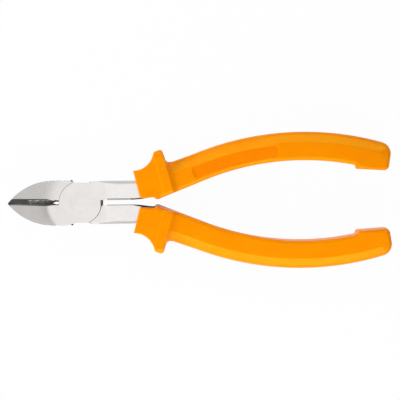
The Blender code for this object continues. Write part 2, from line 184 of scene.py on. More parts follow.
def eased(points, steps=8):
    """Straight runs through (x, y, radius) points, each inner corner an arc that touches both its runs."""
    points = np.array(points, float)
    path = [points[:1, :2]]
    for before, (x, y, radius), after in zip(points[:-2], points[1:-1], points[2:]):
        corner_point = np.array([x, y])
        back = (before[:2] - corner_point) / np.linalg.norm(before[:2] - corner_point)
        on = (after[:2] - corner_point) / np.linalg.norm(after[:2] - corner_point)
        half = math.acos(np.clip(back @ on, -1.0, 1.0)) / 2.0
        middle = corner_point + (back + on) / np.linalg.norm(back + on) * radius / math.sin(half)
        share = np.linspace(0.0, 1.0, steps + 1)[:, None]
        spoke = corner_point - middle + radius / math.tan(half) * (back * (1.0 - share) + on * share)
        path.append(middle + spoke / np.linalg.norm(spoke, axis=1, keepdims=True) * radius)
    return np.vstack([*path, points[-1:, :2]])


def spread(path, count):
    """The path again with count points, evenly by length, without its end."""
    length = np.concatenate([[0.0], np.cumsum(np.linalg.norm(np.diff(path, axis=0), axis=1))])
    at = run(0.0, length[-1], count)
    return np.column_stack([np.interp(at, length, path[:, 0]), np.interp(at, length, path[:, 1])])


def inward(edge, side):
    """Unit normals of a plan edge into the body: its direction turned a quarter, left where side is +1."""
    along = np.gradient(edge, axis=0)
    along = along / np.linalg.norm(along, axis=1, keepdims=True)
    return side * np.column_stack([-along[:, 1], along[:, 0]])


def cross_rows(lower, upper, lower_reach, upper_reach, rings, columns):
    """Plan points in straight rows from a lower edge to an upper one, packed within a reach of both edges.

    Near an edge the points stand at reach * (1 - cos t) from it, for t up to a quarter turn, and evenly
    between.
    """
    row = upper - lower
    length = np.maximum(np.linalg.norm(row, axis=1), TINY)

    def packed(edge, reach):
        """Share of each row within the reach of an edge: the reach over the sine at which they meet."""
        sine = np.abs(np.sum(row * inward(edge, 1.0), axis=1)) / length
        return np.minimum(reach / np.maximum(sine, ROW_SINE) / length, ROW_PACKED[0])[:, None]

    ring = 1.0 - np.cos(np.linspace(0.0, math.pi / 2.0, rings))
    first = packed(lower, lower_reach)
    last = np.minimum(packed(upper, upper_reach), ROW_PACKED[1] - first)
    between = first + (1.0 - first - last) * np.linspace(0.0, 1.0, columns + 2)[1:-1]
    share = np.concatenate([first * ring, between, 1.0 - last * ring[::-1]], axis=1)
    return lower[:, None] + share[..., None] * row[:, None]


def edge_drop(plan, edge, cut, parts=None, window=40):
    """How far rows of plan points lie below the face for the corner along an edge.

    A point at distance d from the edge drops by height * (1 - u) on a chamfer and by
    height * (1 - sqrt(1 - (1 - u)^2)) on a round, with u = d / width. cut is the width, the height and the
    flatness, which is 1 for a chamfer. Each row looks at the stretches of the edge near its own end, in its
    own part of the edge, and the deepest drop holds.
    """
    width, height, flat = (np.broadcast_to(value, len(edge)) for value in cut)
    near = np.arange(len(plan))[:, None] + np.arange(-window, window)
    if parts is not None:
        first, last = np.searchsorted(parts, parts), np.searchsorted(parts, parts, side='right') - 2
        near = np.clip(near, first[:, None], last[:, None])
    near = np.clip(near, 0, len(edge) - 2)
    start = edge[near][:, None]
    span = edge[near + 1][:, None] - start
    offset = plan[:, :, None] - start
    share = np.sum(offset * span, axis=-1) / np.maximum(np.sum(span * span, axis=-1), TINY)
    share = np.clip(share, 0.0, 1.0)
    distance = np.linalg.norm(offset - share[..., None] * span, axis=-1)

    def here(value):
        """A value of the edge's points, straight between them."""
        return value[near][:, None] * (1.0 - share) + value[near + 1][:, None] * share

    inside = np.clip(1.0 - distance / np.maximum(here(width), TINY), 0.0, 1.0)
    drop = here(height) * (here(flat) * inside + (1.0 - here(flat)) * (1.0 - np.sqrt(1.0 - inside ** 2)))
    return drop.max(axis=2)


def raised(plan, height):
    """Plan points with their height as third coordinate."""
    return np.concatenate([plan, np.broadcast_to(height, plan.shape[:-1])[..., None]], axis=-1)


def ringed(name, rings, marks=NICKEL):
    """Closed mesh of rings of points, each joined to the next, with each end ring one face.

    marks gives a finish to each cell of the grid. Points that meet are merged.
    """
    rows, columns = rings.shape[:2]
    index = np.arange(rows * columns).reshape(rows, columns)
    ahead = np.roll(index, -1, axis=1)
    quads = np.stack([index[:-1], index[1:], ahead[1:], ahead[:-1]], axis=-1).reshape(-1, 4)
    marks = np.broadcast_to(marks, (rows - 1, columns)).ravel()
    faces = [*quads.tolist(), index[0].tolist(), index[-1, ::-1].tolist()]
    mesh = bpy.data.meshes.new(name)
    mesh.from_pydata(rings.reshape(-1, 3) * MM, [], faces)
    mesh.polygons.foreach_set("material_index", np.append(marks, marks[[0, -1]]).astype(np.int32))
    bm = bmesh.new()
    bm.from_mesh(mesh)
    bmesh.ops.remove_doubles(bm, verts=bm.verts, dist=WELD * MM)
    bmesh.ops.dissolve_degenerate(bm, dist=WELD / 2.0 * MM, edges=bm.edges)
    bmesh.ops.recalc_face_normals(bm, faces=bm.faces)
    bm.to_mesh(mesh)
    bm.free()
    return mesh


def back_to_back(top, back):
    """Rings round a bar from the points of its front face and of its back face, which is seen turned over."""
    return np.concatenate([top, (back * (1.0, 1.0, -1.0))[:, ::-1]], axis=1)


def stacked(*levels):
    """Rings of plan outlines of as many points, each at its height."""
    return np.stack([raised(np.array(outline), height) for outline, height in levels])


def revolved(profile):
    """Rings of a turned shape: (radius, z) points carried round by cosine and sine."""
    profile = np.array(profile)
    angle = run(0.0, math.tau, ROUND_SIDES)
    return np.stack([profile[:, :1] * np.cos(angle), profile[:, :1] * np.sin(angle),
                     np.repeat(profile[:, 1:], ROUND_SIDES, axis=1)], axis=-1)


def carved(mesh, finishes, *cutters):
    """The mesh less each cutter, by Booleans, with its finishes, shaded smooth between its sharp edges."""
    objects = []
    for part in (mesh, *cutters):
        for finish in finishes:
            part.materials.append(finish)
        objects.append(bpy.data.objects.new(part.name, part))
        bpy.context.scene.collection.objects.link(objects[-1])
    for tool in objects[1:]:
        taken = objects[0].modifiers.new(tool.name, 'BOOLEAN')
        taken.operation = 'DIFFERENCE'
        taken.object = tool
    made = bpy.data.meshes.new_from_object(objects[0].evaluated_get(bpy.context.evaluated_depsgraph_get()))
    for helper in objects:
        bpy.data.objects.remove(helper)
    made.shade_smooth()
    made.set_sharp_from_angle(angle=CREASE)
    return made


def fitted(name, mesh, turned, body, node):
    """A finished piece on the pivot, turned half round about X or not, in place of its CAD node."""
    mesh = mesh.copy()
    mesh.transform(Matrix.Translation(PIVOT) @ Matrix.Rotation(math.pi if turned else 0.0, 4, 'X'))
    piece = bpy.data.objects.new(name, mesh)
    bpy.context.scene.collection.objects.link(piece)
    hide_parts(node)
    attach(piece, body)


def rivet_profile(play, beyond):
    """Profile of the rivet, or of its hole with play that runs on beyond the faces: shank and two heads."""
    head = RIVET_HEAD_RADIUS + play
    half = [(RIVET_RADIUS + play, HEAD_HALF - RIVET_HEAD_DEPTH), (head, HEAD_HALF)]
    if beyond:
        half.append((head, HEAD_HALF + beyond))
    top = half + [(0.0, half[-1][1])]
    return [(radius, -z) for radius, z in reversed(top)] + top


def forging_height(plan, softness=FRONT_BLEND):
    """Half thickness over plan points: level on the boss, falling outside its circle and along the handle.

    With d the distance outside the circle, eased to 0 inside it, the jaw falls by JAW_FALL * d and by a step
    that fades in as 1 - exp(-d / length).
    """
    x = plan[..., 0]
    out = np.hypot(x, plan[..., 1]) - BOSS_RADIUS
    out = 0.5 * (out + np.hypot(out, softness))
    jaw = HEAD_HALF - JAW_FALL * out - JAW_STEP[0] * (1.0 - np.exp(-out / JAW_STEP[1]))
    handle = np.interp(x, [HANDLE_FLAT_END, TANG_START, TANG_X], [HEAD_HALF, HANDLE_COLLAR_HALF, TANG_HALF])
    return np.where(x < 0.0, np.minimum(jaw, HEAD_HALF), handle)


def bow_point(radius, direction):
    """Plan point of the bow at a radius, where the bow runs in that direction in degrees."""
    return sweep(BOW_CENTRE, radius, direction + 90.0, 0.0, 1)[0]


def tang_edges():
    """Inner and outer plan edges of the tang: straight out of the head, cranked, at a slant, then bowed."""
    inner_bow = (*bow_point(TANG_RADIUS, BOW_DEG), 0.0)
    outer_bow = (*bow_point(TANG_RADIUS + TANG_WIDTH[0], BOW_DEG), 0.0)
    inner_straight = eased([(TANG_START, TANG_INNER, 0.0), *TANG_CRANK, inner_bow])
    outer_straight = eased([(TANG_START, HANDLE_OUTER, 0.0), TANG_SHOULDER, outer_bow])
    square = spokes(np.linspace(BOW_DEG, TANG_END_DEG, TANG_BOW_ROWS) + 90.0)
    narrowed = TANG_RADIUS + np.linspace(*TANG_WIDTH, TANG_BOW_ROWS)
    inner = np.vstack([spread(inner_straight, TANG_STRAIGHT_ROWS), BOW_CENTRE + square * TANG_RADIUS])
    outer = np.vstack([spread(outer_straight, TANG_STRAIGHT_ROWS), BOW_CENTRE + square * narrowed[:, None]])
    return inner, outer


def half_runs():
    """Plan edges of a half from the nose to the tang's end, in named runs of a lower and an upper edge.

    The lower edge is the back of the jaw, the lap's lower rim and the toothed inner edge. The upper one is
    the cutting edge, the lap's upper rim, the shoulder and the handle's outside.
    """
    jaw_centre = np.array([JAW_ARC_X, JAW_ARC_RADIUS - JAW_HALF_WIDTH])
    reach = TIP_X - JAW_ARC_X
    nose_radius = (JAW_ARC_RADIUS ** 2 - reach ** 2 - jaw_centre[1] ** 2) / (2.0 * (JAW_ARC_RADIUS + reach))
    nose_centre = np.array([TIP_X + nose_radius, 0.0])
    nose_start_deg = math.degrees(math.asin(EDGE_GAP / nose_radius))
    nose_deg = math.degrees(math.atan2(*(nose_centre - jaw_centre)[::-1])) + 360.0
    flat_x = math.sqrt(LAP_RADIUS ** 2 - LAP_FLAT ** 2)
    flat_deg = math.degrees(math.asin(LAP_FLAT / LAP_RADIUS))
    lap_left = (-LAP_RADIUS, -EDGE_GAP)
    root_radius = LAP_RADIUS + np.interp(math.degrees(HANDLE_INNER / LAP_RADIUS), GAP_BULGE_DEG, GAP_BULGE)
    root_deg = math.degrees(math.asin(HANDLE_INNER / root_radius))
    root_x = root_radius * math.cos(math.radians(root_deg))
    flat_turn_x = FLAT_TURN - flat_x

    jaw_back = np.vstack([sweep(nose_centre, nose_radius, 180.0 + nose_start_deg, nose_deg, 14),
                          sweep(jaw_centre, JAW_ARC_RADIUS, nose_deg, 270.0, 96)])
    rim_deg = run(-flat_deg, root_deg, 90)
    rim_radius = LAP_RADIUS + np.interp(rim_deg, GAP_BULGE_DEG, GAP_BULGE)
    rim = rim_radius[:, None] * spokes(rim_deg)
    tooth_x = (TOOTH_START + np.add.outer(TOOTH_PITCH * np.arange(TOOTH_COUNT), NOTCH_ACROSS)).ravel()
    tooth_end = tooth_x[-1] + TOOTH_PITCH - NOTCH_WIDTH
    return {
        "jaw": (jaw_back, np.column_stack([jaw_back[:, 0], np.full(len(jaw_back), -EDGE_GAP)])),
        "cheek": (run((JAW_ARC_X, -JAW_HALF_WIDTH), (LAP_ROW_X, -JAW_HALF_WIDTH), 14),
                  run((JAW_ARC_X, -EDGE_GAP), lap_left, 14)),
        "lap": (run((LAP_ROW_X, -JAW_HALF_WIDTH), STOP_OUTER, 60),
                sweep((0.0, 0.0), LAP_RADIUS, 180.0, 180.0 - flat_deg, 60)),
        "stop": (run(STOP_OUTER, STOP_INNER, 6), run((-flat_x, LAP_FLAT), (flat_turn_x, LAP_FLAT), 6)),
        "flat": (run(STOP_INNER, (flat_x, -LAP_FLAT), 20),
                 run((flat_turn_x, LAP_FLAT), (SHOULDER_FOOT_X, LAP_FLAT), 20)),
        "rim": (rim, np.vstack([run((SHOULDER_FOOT_X, LAP_FLAT), (SHOULDER_TOP_X, HANDLE_OUTER), 14),
                                run((SHOULDER_TOP_X, HANDLE_OUTER), (root_x, HANDLE_OUTER), 76)])),
        "root": (run((root_x, HANDLE_INNER), (TOOTH_START, HANDLE_INNER), 12),
                 run((root_x, HANDLE_OUTER), (TOOTH_START, HANDLE_OUTER), 12)),
        "teeth": (np.column_stack([tooth_x, np.full(len(tooth_x), HANDLE_INNER)]),
                  np.column_stack([tooth_x, np.full(len(tooth_x), HANDLE_OUTER)])),
        "handle": (run((tooth_end, HANDLE_INNER), (TANG_START, TANG_INNER), 16),
                   run((tooth_end, HANDLE_OUTER), (TANG_START, HANDLE_OUTER), 16)),
        "tang": tang_edges(),
    }


def head_cutters():
    """What is milled out of a half: wire relief, stop pockets, slot, room for the other lap, rivet hole.

    Each of the first three is a stack of plan outlines that widen towards a face; their walls take the dark
    finish as painted shade.
    """
    beyond = HEAD_HALF + CUT_BEYOND
    past = beyond / HEAD_HALF

    def relief(half):
        """Outline of the relief: a point at the cutting edge's end, its half width, and the lap's rim."""
        lap_deg = math.degrees(math.asin(half / LAP_RADIUS))
        rim = sweep((0.0, 0.0), LAP_RADIUS + CUT_OVERLAP, 180.0 - lap_deg, 180.0 + lap_deg, 8)
        point = (RELIEF_X - half + RELIEF_HALF, 0.0)
        return np.vstack([[point, (RELIEF_FULL_X, half)], rim, [(RELIEF_FULL_X, -half)]])

    front_half = RELIEF_HALF + (RELIEF_FRONT_HALF - RELIEF_HALF) * past
    back_half = RELIEF_HALF + (RELIEF_BACK_HALF - RELIEF_HALF) * past
    relief_rings = stacked((relief(back_half), -beyond), (relief(RELIEF_HALF), 0.0),
                           (relief(front_half), beyond))

    def pocket(depth):
        """Outline of the pockets: from the wall of the stop at depth 0 to POCKET_X at depth 1."""
        wall_x = np.interp(POCKET_Y, [STOP_OUTER[1], STOP_INNER[1]], [STOP_OUTER[0], STOP_INNER[0]])
        wall_x = wall_x + 2.0 * CUT_OVERLAP
        x = wall_x + (POCKET_X - wall_x) * depth
        return [(x[0], POCKET_Y[0]), (0.0, POCKET_Y[0]), (0.0, POCKET_Y[1]), (x[1], POCKET_Y[1])]

    pocket_rings = stacked((pocket(past), -beyond), (pocket(0.0), -POCKET_LAND),
                           (pocket(0.0), POCKET_LAND), (pocket(past), beyond))

    def slot(x):
        """Outline of the slot: a rectangle from x out past the rim."""
        far_x = SLOT_X[1] + CUT_BEYOND
        return [(x, SLOT_Y[0]), (far_x, SLOT_Y[0]), (far_x, SLOT_Y[1]), (x, SLOT_Y[1])]

    slot_top_x = SLOT_X[1] + (SLOT_X[0] - SLOT_X[1]) * past
    slot_rings = stacked((slot(SLOT_X[1]), SLOT_FOOT), (slot(slot_top_x), beyond))
    room_deg = run(-180.0, 180.0, 2 * ROUND_SIDES)
    room_radius = LAP_RADIUS + SEAM + np.interp(room_deg, ROOM_BULGE_DEG, ROOM_BULGE)
    room = room_radius[:, None] * spokes(room_deg)
    # the walls of the relief, the pockets and the slot are coloured dark: painted shade in the recesses
    return (ringed("wire_relief", relief_rings, OXIDE_AND_SHADE), ringed("stop_pockets", pocket_rings, OXIDE_AND_SHADE),
            ringed("rim_slot", slot_rings, OXIDE_AND_SHADE),
            ringed("lap_room", stacked((room, -beyond), (room, LAP_PLAY / 2.0))),
            ringed("rivet_hole", revolved(rivet_profile(RIVET_PLAY, 2.0 * CUT_BEYOND))))


def forged_half(*finishes):
    """Mesh of a half about the pivot: lower jaw, upper lap and handle, and tang.

    Rows run from the lower to the upper plan edge. Over them each face is the half thickness less the deepest
    of the cuts along the edges: ground bevel, rounded or slanted edge, notches and the forged outer bevel.
    """
    runs = half_runs()
    lower, upper = (np.vstack(edges) for edges in zip(*runs.values()))
    order = np.repeat(np.arange(len(runs)), [len(edges[0]) for edges in runs.values()])
    run_of = np.array(list(runs))[order]
    place = {name: number for number, name in enumerate(runs)}
    lower_parts = np.digitize(order, [place["flat"], place["root"]])
    upper_parts = np.digitize(order, [place["lap"], place["rim"]])
    across = np.linalg.norm(upper - lower, axis=1)
    x = upper[:, 0]
    ground = order < place["lap"]
    on_rim = run_of == "rim"
    milled = (order >= place["flat"]) & (order <= place["teeth"])
    banded = x > BAND_X[0]
    # rows whose inner edge is slanted and painted black as shade
    black_shade_edge = order > place["teeth"]
    notched = run_of == "teeth"
    notched[notched] = np.tile(NOTCH_SUNK, TOOTH_COUNT)
    lean = np.interp(np.degrees(np.arctan2(lower[:, 1], lower[:, 0])), RIM_LEAN_DEG, RIM_LEAN)
    soft = np.minimum(SOFT_EDGE, SOFT_SHARE * across)

    def one_face(softness, bevel, band, notch, slant):
        """Points of a face, and how deep each lies in a cut with the dark finish and in one with the black
        finish; outside the ground bevel both are painted shade.
        """
        slant = np.interp(lower[:, 0], BLACK_SHADE_EDGE_X, slant)
        lower_width = np.select([on_rim, black_shade_edge, milled], [lean, slant, FINE_EDGE], soft)
        slopes = [RIM_SLOPE * lean, BLACK_SHADE_EDGE_SLOPE * slant]
        lower_height = np.select([on_rim, black_shade_edge], slopes, lower_width)
        lower_cut = (lower_width, lower_height, np.where(on_rim | black_shade_edge, 1.0, 0.0))
        bevel = np.minimum(np.interp(x, BEVEL_X, bevel), BEVEL_SHARE * across)
        width = np.select([ground, banded, on_rim], [bevel, np.interp(x, BAND_X, band), SOFT_EDGE], FINE_EDGE)
        edge_height = forging_height(upper, softness) - EDGE_LAND
        height = np.select([ground, banded], [edge_height, BAND_FALL * width], width)
        upper_cut = (width, height, np.where(ground | banded, 1.0, 0.0))
        lower_reach = np.where(run_of == "teeth", notch[0], lower_width)
        plan = cross_rows(lower, upper, lower_reach, width, CORNER_RINGS, FACE_COLUMNS)
        low = edge_drop(plan, lower, lower_cut, lower_parts)
        in_bevel = np.clip(1.0 + (plan[..., 1] + EDGE_GAP) / width[:, None], 0.0, 1.0)
        high = edge_drop(plan, upper, upper_cut, upper_parts)
        high = np.where(ground[:, None], height[:, None] * in_bevel, high)
        into = np.clip(1.0 - (plan[..., 1] - HANDLE_INNER) / notch[0], 0.0, 1.0)
        tooth = np.where(notched[:, None], notch[1] * into, 0.0)
        # the bevel, the rim's chamfer and the notches take the dark finish; on the chamfer and in the notches
        # it is painted shade
        oxide_and_shade_depth = np.maximum(high * ground[:, None], low * on_rim[:, None])
        black_shade_depth = np.maximum(low * black_shade_edge[:, None], plan[..., 0] - BLACK_SHADE_X)
        face = raised(plan, forging_height(plan, softness) - np.maximum(np.maximum(low, high), tooth))
        return face, np.stack([np.maximum(oxide_and_shade_depth, NOTCH_WEIGHT * tooth), black_shade_depth])

    top, top_depth = one_face(FRONT_BLEND, FRONT_BEVEL, FRONT_BAND, FRONT_NOTCH, FRONT_BLACK_SHADE_EDGE)
    back, back_depth = one_face(BACK_BLEND, BACK_BEVEL, BACK_BAND, BACK_NOTCH, BACK_BLACK_SHADE_EDGE)
    depth = np.concatenate([top_depth, back_depth[..., ::-1]], axis=2)
    depth = depth + np.roll(depth, -1, axis=2)
    # cells with the dark finish (oxide and painted shade) and with the black painted shade
    oxide_and_shade, in_black_shade = (depth[:, :-1] + depth[:, 1:]) / 4.0 > MARK_DEPTH
    marks = np.select([oxide_and_shade, in_black_shade], [OXIDE_AND_SHADE, BLACK_SHADE], NICKEL)
    return carved(ringed("plier_half", back_to_back(top, back), marks), finishes, *head_cutters())


def srgb(code):
    """Linear colour of a hex code: each channel is raised from the display curve."""
    channels = np.array([int(code[i:i + 2], 16) for i in (1, 3, 5)]) / 255.0
    return (*np.where(channels <= 0.04045, channels / 12.92, ((channels + 0.055) / 1.055) ** 2.4), 1.0)


def wire(tree, node, links):
    """Set each named or numbered input of a node to a value, or link it to a socket."""
    for key, value in dict(links).items():
        if isinstance(value, bpy.types.NodeSocket):
            tree.links.new(value, node.inputs[key])
        else:
            node.inputs[key].default_value = value


def add(tree, kind, links=(), out=0, **settings):
    """One output of a new node of that kind, with its own settings and its inputs wired."""
    node = tree.nodes.new("ShaderNode" + kind)
    for name, value in settings.items():
        setattr(node, name, value)
    wire(tree, node, links)
    return node.outputs[out]


def finish_tree(name):
    """A new material's node tree, its shader, and the piece's own coordinates in metres."""
    made = bpy.data.materials.new(name)
    made.use_nodes = True
    tree = made.node_tree
    return made, tree, tree.nodes["Principled BSDF"], add(tree, "TexCoord", out="Object")


def grain(tree, place, size, **links):
    """Noise from 0 to 1 whose clouds are about as large as size, in millimetres along each axis."""
    scaled = add(tree, "Mapping", {"Vector": place, "Scale": 1.0 / (np.array(size) * MM)})
    return add(tree, "TexNoise", {"Vector": scaled, "Scale": 1.0, **links}, out="Fac")


def toned(tree, value, start, end, low=0.0, high=1.0):
    """A number or a hex code's colour that eases from low to high as a value runs from start to end."""
    ends = {} if isinstance(low, str) else {3: low, 4: high}
    share = add(tree, "MapRange", {0: value, 1: start, 2: end, **ends}, interpolation_type='SMOOTHSTEP')
    if ends:
        return share
    return add(tree, "Mix", {0: share, 6: srgb(low), 7: srgb(high)}, out=2, data_type='RGBA')


def satin_nickel():
    """Satin nickel plate over belt-ground steel: a pale warm mirror, clouded, with lines along the tool.

    Real belt lines lie closer than a twentieth of a millimetre. They are drawn over ten times coarser, so
    that they show.
    """
    made, tree, shader, place = finish_tree("satin_nickel_plate")
    lines = grain(tree, place, (14.0, 0.6, 0.6), Detail=2.0)
    clouds = grain(tree, place, (5.0, 5.0, 5.0), Detail=2.0)
    tone = add(tree, "Math", {0: lines, 1: clouds}, operation='ADD')
    wire(tree, shader, {
        "Metallic": 1.0,
        "Base Color": toned(tree, tone, 0.6, 1.4, "#EFEBE8", "#F6F3F1"),
        "Roughness": toned(tree, lines, 0.3, 0.7, 0.245, 0.275),
    })
    return made


def hardened_edge_and_shade():
    """Tool steel hardened along the edge after plating, dull, dark and oxidised, with painted shade that
    makes it black at the rim and paler at the edge. The milled walls, the rim's chamfer and the notches take
    this finish as painted shade.

    The scuffs on it are thin lines where a noise passes its middle value, on the stretch that cuts most.
    """
    made, tree, shader, place = finish_tree("hardened_oxide_and_painted_shade")
    at = add(tree, "SeparateXYZ", {0: place}).node.outputs
    aside = add(tree, "Math", {0: at["Y"]}, operation='ABSOLUTE')
    # painted shade: the bevel's colour runs from pale at the cutting edge to black at its rim
    oxide_and_shade = toned(tree, aside, *(MM * np.array(OXIDE_SHADE_Y)), "#8F8D8B", "#41403F")
    noise = grain(tree, place, (1.3, 1.2, 3.0), Detail=1.0, Distortion=0.8)
    off_middle = add(tree, "Math", {0: noise, 1: 0.5}, operation='SUBTRACT')
    off_middle = add(tree, "Math", {0: off_middle}, operation='ABSOLUTE')
    scuff = toned(tree, off_middle, *SCUFF_LINE)
    along = [toned(tree, at["X"], *(PIVOT[0] + MM * np.array(stretch))) for stretch in SCUFF_X]
    across = [toned(tree, at["Y"], *(PIVOT[1] + MM * np.array(stretch))) for stretch in SCUFF_Y]
    for fade in along + across:
        scuff = add(tree, "Math", {0: scuff, 1: fade}, operation='MULTIPLY')
    scuffed = {0: scuff, 6: oxide_and_shade, 7: srgb("#E2DDD6")}
    wire(tree, shader, {
        "Base Color": add(tree, "Mix", scuffed, out=2, data_type='RGBA'),
        "Roughness": toned(tree, grain(tree, place, (0.8, 0.8, 0.8)), 0.3, 0.7, 0.5, 0.7),
        "Specular IOR Level": 0.2,
    })
    return made


def black_shade_finish():
    """Matt, mottled black: painted shade where the tang shows in the collar's slot and on the inner edge
    beside the collar.
    """
    made, tree, shader, place = finish_tree("black_painted_shade")
    # painted shade: black where the tang and the edge beside the collar lie in shadow
    mottle = grain(tree, place, (1.5, 1.5, 1.5), Detail=3.0)
    wire(tree, shader, {
        "Base Color": toned(tree, mottle, 0.35, 0.65, "#12100F", "#322E2A"),
        "Roughness": toned(tree, mottle, 0.35, 0.65, 0.5, 0.75),
    })
    return made


nickel = satin_nickel()
half_mesh = forged_half(nickel, hardened_edge_and_shade(), black_shade_finish())
fitted("front_half", half_mesh, False, "front_lever", "front_plier_half")
fitted("rear_half", half_mesh, True, "rear_lever", "rear_plier_half")


# Rivet
# A steel pin through both laps, closed flush into a countersink on each face, then ground and plated with the
# halves, so that only a hairline ring shows.
rivet_mesh = carved(ringed("rivet", revolved(rivet_profile(0.0, 0.0))), [nickel])
fitted("rivet", rivet_mesh, False, "front_lever", "pivot_rivet")


# Grip sleeves
# Two like sleeves of soft PVC, injection moulded with a finger guard, a raised ring behind it and a lobe at
# the end, and pushed on to the tangs warm. The front face has a shallow sunk panel; the back face is plain.
SMOOTH, GRAINED = range(2)  # finishes of a sleeve
GRIP_HALF_WIDTH = 6.698
LOBE_DEG = -11.1            # direction of the bow where the end lobe starts to step out
LOBE_FULL_DEG = -12.0
LOBE_END_DEG = -15.7
COLLAR_HALF = 6.9           # half thicknesses along the sleeve
RING_HALF = 7.198
HOLLOW_HALF = 5.75
SHANK_HALF = 6.3
LOBE_HALF = 7.198
RING_DEG = 15.0             # the ring lies across this direction: how far along it the ring rises and ends
RING_FRONT = (38.4, 39.4)
RING_REAR = 43.4
RING_FALL = (3.3, 2.4)      # length of the fall behind it, on the finger side and on the palm side
HOLLOW_END = (0.1, 0.6)     # the hollow runs out across the sleeve from here to here, in half widths
HOLLOW_RISE = 0.6           # it rises to the shank again from this share of the fall on
SHANK_X = 50.0              # from here the shank thickens evenly to the lobe
SHANK_LEVEL = 52.0          # the shank is full from here on
FRONT_CENTRE = (24.9, 24.3)     # hollow front of the guard, an arc from the collar's front
FRONT_RADIUS = 9.7
FRONT_END_DEG = -14.0
COLLAR_EDGE = 0.5           # rounding of the collar's front
COLLAR_ROUND = 0.8
FRONT_SLOPE = (5.2, 2.2)    # the palm side slopes off over this width by this height, then rounds over
BACK_SLOPE = (4.5, 1.9)
SLOPE_START = (40.6, 42.2)
PALM_SLOPE = {"end": 1.0, "close": 0.0}     # share of that slope where these runs of the edge start
PALM_ROUND = 1.4
FRONT_FINGER = (1.7, 0.92)  # the finger side has a narrower slope and a smaller round
BACK_FINGER = (1.3, 0.5)
FINGER_SLOPE = {"collar": 0.3, "guard": 0.3, "foot": 1.2, "shank": 1.0, "lobe": 1.0, "end": 0.0}
FINGER_ROUND = 0.4
END_ROUND = 1.9
DRAFT_X = (28.0, 35.0, 40.0, 47.0, 76.0, 100.0, 142.0, 146.0)   # along the sleeve, how far its finger side
DRAFT = (1.0, 1.1, 1.3, 0.3, 0.15, 0.9, 0.9, 0.0)               # leans in at the back, to leave the mould
DRAFT_HEIGHT = 9.3
CAVITY_GAP = 0.1            # between the tang and its room, which runs on out of the collar by the lead
CAVITY_LEAD = 12.0
CAVITY_PACKED = 0.2
SLOT_END_X = 34.7           # the collar is open towards the long axis up to here, and into the tang's room
SLOT_REACH = 3.0
GUARD_TIP_FRONT = (34.65, 23.3, 1.0)
GUARD_TIP_REAR = (38.15, 24.55, 1.0)
GUARD_REAR = (39.0, 22.7, 0.0)
GUARD_FOOT = (40.55, 18.5, 1.8)
GUARD_FALL_Y = 21.65        # the tip of the guard slopes off from here on
GUARD_FALL = 0.45
PALM_START = (43.5, 18.75, 0.0)
COLLAR_INNER_FRONT = (28.4, 1.75, 0.0)
COLLAR_INNER_REAR = (34.4, 2.1, 0.0)
NIB_FRONT = (35.7, 1.15, 0.8)
NIB_REAR = (36.9, 1.3, 0.8)
NIB_END = (38.0, 1.77, 0.0)
FINGER_START = (46.5, 5.12, 0.0)
LOBE_ROOT = (128.9, 15.95, 0.6)
LOBE_CORNER = (129.2, 14.2, 0.9)
LOBE_FRONT = (130.4, 14.12, 0.0)
LOBE_REAR = (142.0, 13.35, 0.0)
END_INNER_CORNER = (144.47, 13.2, 2.4)
END_OUTER_CORNER = (146.38, 25.35, 5.5)
FACE_LEAN = 0.07            # fall of the shank and the bow towards the palm side for each unit across
CROWN = 0.5                 # rise of the shank's middle over its sides, and where along the bow it fades out
CROWN_FULL = 20.0
CROWN_END = 42.0
PANEL_MIDDLE = (16.9, -1.8)     # sunk panel of the front face, along and across the bow
PANEL_HALF = (21.2, 3.2)
PANEL_CORNER = 2.3
PANEL_DEPTH = 0.3
PANEL_WALL = 0.4
PANEL_FLOOR = 0.95          # what lies deeper than this share of the depth is the grained floor
SLEEVE_RINGS = 9            # points across a corner and across a face of the sleeve
SLEEVE_COLUMNS = 38
FRONT_PACKING = 1.6         # rows stand closer towards the collar's front, by this power


def smooth(value, start, end):
    """0 before start, 1 after end, and 3t^2 - 2t^3 between them."""
    share = np.clip((value - start) / (end - start), 0.0, 1.0)
    return share * share * (3.0 - 2.0 * share)


def bow_place(plan):
    """Where plan points lie along and across the middle line, which is straight and then bowed.

    On the bow, along is the radius times the angle past its start, and across is the distance from its centre
    less the radius. Before it they are measured on the straight line that runs into the bow.
    """
    offset = plan - BOW_CENTRE
    turn = math.radians(BOW_DEG + 90.0)
    past = turn - np.arctan2(offset[..., 1], offset[..., 0])
    square = np.array([math.cos(turn), math.sin(turn)])
    ahead = offset @ np.array([square[1], -square[0]])
    along = np.where(past < 0.0, ahead, BOW_RADIUS * past)
    across = np.where(past < 0.0, offset @ square, np.linalg.norm(offset, axis=-1)) - BOW_RADIUS
    return along, across


def ring_level(plan):
    """How far plan points lie along the direction that the ring lies across."""
    slant = math.radians(RING_DEG)
    return plan[..., 0] * math.cos(slant) + plan[..., 1] * math.sin(slant)


